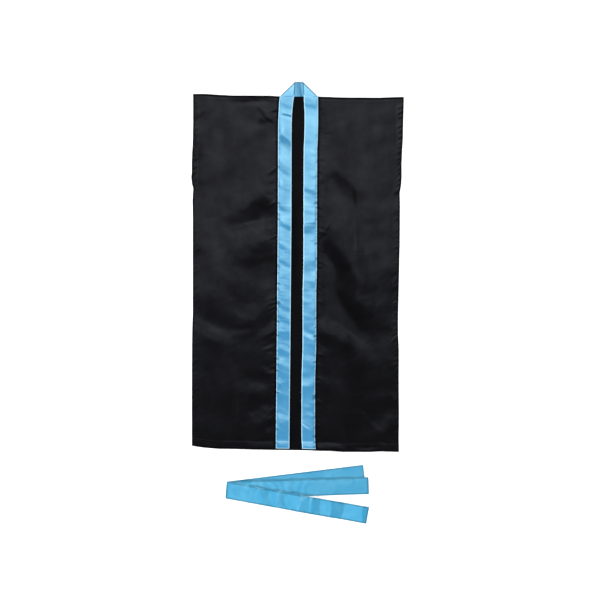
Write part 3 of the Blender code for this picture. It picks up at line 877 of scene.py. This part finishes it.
def sash_stations():
    """(middle, half width, height, run, place along) of the sash's rows, as in its solid.

    The runs are numbered from the top one, 0, and a row in the fold after a run has half more.
    """
    turns = np.array(SASH_ENDS_AND_FOLDS) * MM
    runs = turns[1:] - turns[:-1]
    lengths = np.hypot(*runs.T)
    headings = runs / lengths[:, None]
    turned = np.stack([-headings[:, 1], headings[:, 0]], -1)
    between = headings[:-1] + headings[1:]
    between /= np.hypot(*between.T)[:, None]
    halves = np.vstack([turned[:1], between, turned[-1:]])
    halves *= np.sign(halves[:, 1:]) * SASH_WIDTH / 2
    stations, along = [], 0
    for run, heading in enumerate(headings):
        outer = SASH_CLOTH if run % 2 == 0 else 0
        base = SASH_LAYER * (len(runs) - 1 - run)
        share = np.linspace(0, 1, int(lengths[run] / SASH_STEP))[:, None]
        on_stack = smooth(SASH_FLOOR_SHARE, SASH_STACK_SHARE, share) if run == 0 else 1
        middle = mix(turns[run], turns[run + 1], share)
        half = mix(halves[run], halves[run + 1], share)
        level = base * on_stack + outer + 0 * share
        stations += [*np.hstack([middle, half, level, run + 0 * share, along + share * lengths[run]])]
        along += lengths[run]
        radius = (SASH_LAYER - SASH_CLOTH) / 2 + outer
        start = stations[-1][4]
        for turn in np.linspace(0, math.pi, 9)[1:-1] if run < len(runs) - 1 else ():
            middle = turns[run + 1] + heading * radius * math.sin(turn)
            height = start - radius * (1 - math.cos(turn))
            stations.append((*middle, *halves[run + 1], height, run + 0.5, along))
    return np.array(stations)


def sash_wave(skew):
    return look_up(SASH_WAVES, skew, "height")


def sash_skew(off, along):
    """The distance along that the sash's waves go by: slanting, uneven and bent into petals."""
    skew = along - 0.03 * off + 4 * MM * soft_noise(0.8 * off, along, 45 * MM, 70)
    rounded = np.sin(math.tau * (skew - SASH_PETALS_AT) / SASH_PETAL_PITCH)
    bent = SASH_PETAL_DEPTH * (off / (SASH_WIDTH / 2)) ** 2 * rounded
    return skew + bent * smooth(195 * MM, 220 * MM, skew)


def sash_painted_shade(off, along, skew, run):
    """Painted shade on the sash's waves and its crushed middle, 0 to 1; the lower runs get more painted
    shade.
    """
    tilted = (sash_wave(skew + 3 * MM) - sash_wave(skew)) / (3 * MM)
    shaded = np.clip(0.12 + 2.4 * tilted, 0, 0.24) * (run == 0) * smooth(400 * MM, 340 * MM, skew)
    lower = run > 0.5
    phase = math.tau * along / SASH_BLOT_PITCH + 2 * soft_noise(off, along, 30 * MM, 73)
    blots = smooth(-0.2, 0.2, np.sin(phase + 2 * (off / (SASH_WIDTH / 2)) ** 2))
    blots = mix(TOP_BLOT_SHADE, LOWER_BLOT_SHADE, lower) * blots + LOWER_CRUSHED_SHADE * lower
    crushed = smooth(320 * MM, 350 * MM, along) * smooth(730 * MM, 690 * MM, along)
    return np.maximum(shaded, mix(LOWER_RUN_SHADE * lower, blots, crushed))


def make_sash():
    stations = sash_stations()
    row_along, row_run = stations[:, 6], stations[:, 5]
    across = np.array((-1, -0.985, -0.95, *np.linspace(-0.88, 0.88, 21), 0.95, 0.985, 1))
    off, along = np.broadcast_arrays(across * SASH_WIDTH / 2, row_along[:, None])
    run = row_run[:, None]
    skew = sash_skew(off, along)
    creased = unevenness(SASH_UNEVENNESS, off, along)
    relief = np.where(run == 0, sash_wave(skew) + creased, 0.8 * creased)
    relief = relief * (run % 1 == 0)
    from_side = SASH_WIDTH / 2 - np.abs(off)
    relief -= 0.15 * MM * roll_off(from_side, 2.4 * MM) * (run == 0)
    height = np.maximum(stations[:, None, 4] + relief, np.where(run % 2 == 0, SASH_SHELL, 0))
    place = stations[:, None, 0:2] + stations[:, None, 2:4] * across[:, None]
    points = np.concatenate([place, height[..., None]], -1)
    turned_at = np.array([0, *np.unique(row_along[row_run % 1 > 0]), row_along[-1]])
    from_turn = np.abs(along[..., None] - turned_at).min(axis=-1)
    # Painted shade along the sash's edges and turns, and on its waves, its crushed middle and its lower
    # runs.
    at_edge = smooth(5.6 * MM, 3.4 * MM, np.minimum(from_side, from_turn))
    rim = -np.maximum(SASH_EDGE_SHADE * at_edge, sash_painted_shade(off, along, skew, run))
    return cloth_grid("belt", points, np.stack([off, along], -1), SASH_SHELL, rim=rim)


def set_inputs(node, inputs):
    """Sets a node's inputs, by name or number, to values or links them to other nodes' outputs."""
    for name, value in inputs.items():
        if isinstance(value, bpy.types.NodeSocket):
            node.id_data.links.new(value, node.inputs[name])
        else:
            node.inputs[name].default_value = value


def add_node(tree, kind, output, inputs={}, **settings):
    """An output of a new shader node."""
    made = tree.nodes.new("ShaderNode" + kind)
    for name, value in settings.items():
        setattr(made, name, value)
    set_inputs(made, inputs)
    return made.outputs[output]


def math_node(tree, operation, a, b):
    return add_node(tree, "Math", 0, {0: a, 1: b}, operation=operation)


def map_range(tree, value, low, high):
    return add_node(tree, "MapRange", "Result", {"Value": value, "To Min": low, "To Max": high})


def mix_color(tree, factor, a, b):
    """A colour between a and b, where b is a constant; their sockets are the node's 7th and 8th."""
    first = a if isinstance(a, bpy.types.NodeSocket) else (*a, 1)
    return add_node(tree, "Mix", 2, {0: factor, 6: first, 7: (*b, 1)}, data_type="RGBA")


def new_material(name):
    """(material, node tree, shader) of a new material."""
    made = bpy.data.materials.new(name)
    made.use_nodes = True
    return made, made.node_tree, made.node_tree.nodes["Principled BSDF"]


def satin(name, color, roughness, specular, tint, ior=1.5, grain=0.7, painted_highlight_color=None, painted_shade_color=None):
    """Satin whose yarns run along V of the cloth map: streaks, a fine weave and a wide side sheen."""
    made, tree, shader = new_material(name)
    place = add_node(tree, "UVMap", "UV", uv_map="cloth")
    yarns = add_node(tree, "Mapping", "Vector", {"Vector": place, "Scale": YARN_SCALE})
    streaks = add_node(tree, "TexNoise", "Fac", {"Vector": yarns, "Scale": 1, "Detail": 3})
    clouds = {"Vector": place, "Scale": CLOUD_SCALE, "Detail": 6, "Roughness": 0.55}
    cloudy = add_node(tree, "TexNoise", "Fac", clouds)
    shades = [tuple(part * shade for part in color) for shade in (0.88, 1.12)]
    uneven = map_range(tree, math_node(tree, "ADD", streaks, cloudy), -0.5, 0.5)
    mixed = mix_color(tree, uneven, *shades)
    # Painted highlight and painted shade: the colour goes towards the first of these colours where the
    # attribute is positive and towards the second where it is negative.
    if painted_highlight_color:
        rim = add_node(tree, "Attribute", "Fac", attribute_name="rim")
        mixed = mix_color(tree, rim, mixed, painted_highlight_color)
        mixed = mix_color(tree, math_node(tree, "MULTIPLY", rim, -1), mixed, painted_shade_color)
    sheen = map_range(tree, cloudy, specular * 0.15, specular * 1.85)
    # The attribute takes sheen away as painted shade or, where negative, adds it as a painted
    # highlight.
    dull = add_node(tree, "Attribute", "Fac", attribute_name="dull")
    crossing = add_node(tree, "Mapping", "Vector", {"Vector": place, "Scale": WEAVE_SCALE})
    woven = {"Vector": crossing, "Scale": 0.3, "Distortion": 1.5}
    weave = add_node(tree, "TexWave", "Fac", woven, bands_direction="DIAGONAL")
    fine = {"Height": weave, "Strength": 0.5, "Distance": WEAVE_DEPTH}
    normal = add_node(tree, "Bump", "Normal", fine)
    coarse = {"Height": streaks, "Strength": 0.6, "Distance": YARN_DEPTH, "Normal": normal}
    set_inputs(shader, {
        "Base Color": mixed,
        "Roughness": map_range(tree, streaks, roughness - 0.04, roughness + 0.04),
        "Specular IOR Level": math_node(tree, "MULTIPLY", sheen, math_node(tree, "SUBTRACT", 1, dull)),
        "Specular Tint": (*tint, 1),
        "IOR": ior,
        "Anisotropic": grain,
        "Tangent": add_node(tree, "Tangent", "Tangent", direction_type="UV_MAP", uv_map="cloth"),
        "Normal": add_node(tree, "Bump", "Normal", coarse),
    })
    return made


def thread(name, color):
    made, tree, shader = new_material(name)
    place = add_node(tree, "TexCoord", "Object")
    twist = add_node(tree, "TexWave", "Fac", {"Vector": place, "Scale": 700})
    mixed = mix_color(tree, twist, tuple(part * 0.7 for part in color), color)
    set_inputs(shader, {"Base Color": mixed, "Roughness": 0.5})
    return made


def stitch_faces(count):
    """Faces of beads, each of whose rings of corners come one after the other."""
    faces = []
    size = STITCH_SIDES * len(STITCH_RINGS)
    for first in range(0, count * size, size):
        last = first + size - STITCH_SIDES
        faces.append([first + step for step in reversed(range(STITCH_SIDES))])
        faces.append([last + step for step in range(STITCH_SIDES)])
        for ring in range(first, last, STITCH_SIDES):
            for step in range(STITCH_SIDES):
                here, there = ring + step, ring + (step + 1) % STITCH_SIDES
                faces.append((here, there, there + STITCH_SIDES, here + STITCH_SIDES))
    return faces


def make_stitches(name, paths):
    """Stitches in a row along each path of points on the cloth: short rounded beads in one mesh."""
    turns = np.linspace(0, math.tau, STITCH_SIDES, endpoint=False)
    places, leads = [], []
    for path in paths:
        reach = np.concatenate([[0], np.cumsum(np.linalg.norm(np.diff(path, axis=0), axis=1))])
        marks = np.arange(STITCH_PITCH / 2, reach[-1] - STITCH_PITCH / 2, STITCH_PITCH)
        ends = [np.stack([np.interp(marks + shift, reach, axis) for axis in path.T], -1)
                for shift in (-0.5 * MM, 0.5 * MM)]
        lead = ends[1] - ends[0]
        places.append((ends[0] + ends[1]) / 2)
        leads.append(lead / np.linalg.norm(lead, axis=1)[:, None])
    place, lead = np.concatenate(places), np.concatenate(leads)
    side = np.cross(lead, (0, 0, 1))
    up = np.cross(side, lead)
    corners = [
        place + lead * STITCH_LENGTH * along
        + (side * math.cos(turn) + up * math.sin(turn)) * STITCH_RADIUS * size
        for along, size in STITCH_RINGS for turn in turns
    ]
    mesh = bpy.data.meshes.new(name)
    mesh.from_pydata(np.stack(corners, 1).reshape(-1, 3), [], stitch_faces(len(place)))
    mesh.shade_smooth()
    return add_piece(name, mesh)


def on_front(side, x, down):
    """Points just above a front's outer face."""
    return placed(x, down, front_surface(side, x, down) + STITCH_RISE)


def on_band(side, across, down):
    """Points just above the collar band's top face."""
    x = edge(side + "_seam", down) + INWARD[side] * across
    height = SOLID_LAYER + front_lift(side, x, down) + BAND_THICKNESS + STITCH_RISE
    return placed(x, down, height + band_relief(side, x, across, down))


def band_stitch_paths(side):
    down = np.linspace(6 * MM, BAND_END - 3 * MM, 500)
    across = np.linspace(2 * MM, COLLAR_WIDTH - 3 * MM, 40)
    along_hem = np.full(40, BAND_END - BAND_HEM + STITCH_INSET)
    return [on_band(side, np.full(500, BAND_STITCH_AT), down), on_band(side, across, along_hem)]


def front_stitch_paths(side):
    inward = INWARD[side]
    down = np.linspace(4 * MM, ARMHOLE, 200)
    x = edge(side + "_side", down) + inward * (SIDE_HEM - 2 * MM)
    hem_x = np.linspace(edge(side + "_side", COAT_LENGTH) + inward * 4 * MM,
                        edge(side + "_seam", COAT_LENGTH) - inward * 3 * MM, 200)
    hem_down = np.full(200, COAT_LENGTH - HEM + STITCH_INSET)
    return [on_front(side, x, down), on_front(side, hem_x, hem_down)]


def make_floor():
    bpy.ops.mesh.primitive_plane_add(size=14, location=(0, 0, -0.2 * MM))
    floor = bpy.context.object
    floor.name = "floor"
    made, _, shader = new_material("floor")
    set_inputs(shader, {"Base Color": (0.9, 0.9, 0.9, 1), "Roughness": 0.9, "Specular IOR Level": 0.1})
    set_inputs(shader, {"Emission Color": (1, 1, 1, 1), "Emission Strength": 0.3})
    floor.data.materials.append(made)


def area_light(name, place, target, size, power):
    light = bpy.data.lights.new(name, "AREA")
    light.shape = "RECTANGLE"
    light.size, light.size_y = size
    light.energy = power
    holder = add_piece(name, light)
    holder.location = place
    holder.rotation_euler = (Vector(target) - Vector(place)).to_track_quat("-Z", "Y").to_euler()
    holder.visible_camera = False


def make_lights():
    world = bpy.data.worlds.new("studio")
    bpy.context.scene.world = world
    world.use_nodes = True
    set_inputs(world.node_tree.nodes["Background"], {"Color": (1, 1, 1, 1), "Strength": 0.1})
    for light in LIGHTS:
        area_light(*light)


def make_camera():
    camera = bpy.data.cameras.new("camera")
    camera.sensor_width = SENSOR_WIDTH
    camera.lens = SENSOR_WIDTH * CAMERA_PLACE[2] / VIEW_WIDTH
    camera.clip_end = 50
    holder = add_piece("camera", camera)
    holder.location = CAMERA_PLACE
    bpy.context.scene.camera = holder


def main():
    bpy.context.scene.view_settings.view_transform = "Standard"
    black = satin("black_satin", (0.0029, 0.0029, 0.0036), 0.36, 0.098, (0.83, 0.865, 1))
    inside = satin("black_satin_inside", (0.0031, 0.0030, 0.0037), 0.55, 0.02, (1, 1, 1))
    # The blue satins' last two colours are their painted highlight and painted shade colours.
    blue = satin("blue_satin", (0.037, 0.213, 0.41), 0.35, 1.0, (0.56, 0.93, 1.0), 1.6, 0.6,
                 (0.45, 0.72, 0.88), (0.010, 0.075, 0.15))
    sash = satin("sash_satin", (0.033, 0.275, 0.495), 0.36, 1.0, (0.5, 0.93, 1.0), 1.6, 0.5,
                 (0.55, 0.80, 0.92), (0.001, 0.12, 0.23))
    black_thread = thread("black_thread", (0.008, 0.008, 0.01))
    blue_thread = thread("blue_thread", (0.35, 0.62, 0.80))
    make_floor()
    make_lights()
    make_camera()
    # Each piece, its node, material and slot, its cut as far as it shows, how it is held, and what
    # it lies on.
    made = (
        (make_back(), "back_panel", inside, "black_satin", (0.66, 1.105), "laid", ["floor"]),
        (make_front("left"), "front_panel_left", black, "black_satin", (0.28, 1.105), "laid", ["back"]),
        (make_front("right"), "front_panel_right", black, "black_satin", (0.28, 1.105), "laid",
         ["back"]),
        (make_band("left"), "collar_left", blue, "blue_satin", (0.09, 1.147), "folded",
         ["back", "front_left"]),
        (make_band("right"), "collar_right", blue, "blue_satin", (0.09, 1.147), "folded",
         ["back", "front_right"]),
        (make_neck_band(), "collar_neck", blue, "blue_satin", (0.096, 0.09), "folded", ["back"]),
        (make_sash(), "sash", sash, "blue_satin", (0.0525, 1.76), "folded", ["floor"]),
    )
    for piece, node, finish, slot, *_ in made:
        piece.data.materials.append(finish)
        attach(piece, "root")
        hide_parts(node)
    for side in ("left", "right"):
        for cloth, paths, finish, slot in (
            ("front", front_stitch_paths(side), black_thread, "black_satin"),
            ("band", band_stitch_paths(side), blue_thread, "blue_satin"),
        ):
            stitches = make_stitches(f"stitches_{cloth}_{side}", paths)
            stitches.data.materials.append(finish)
            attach(stitches, "root")
    for piece, *_, size, held, rests_on in made:
        stitches = [one for one in bpy.data.objects if one.name == "stitches_" + piece.name]


main()
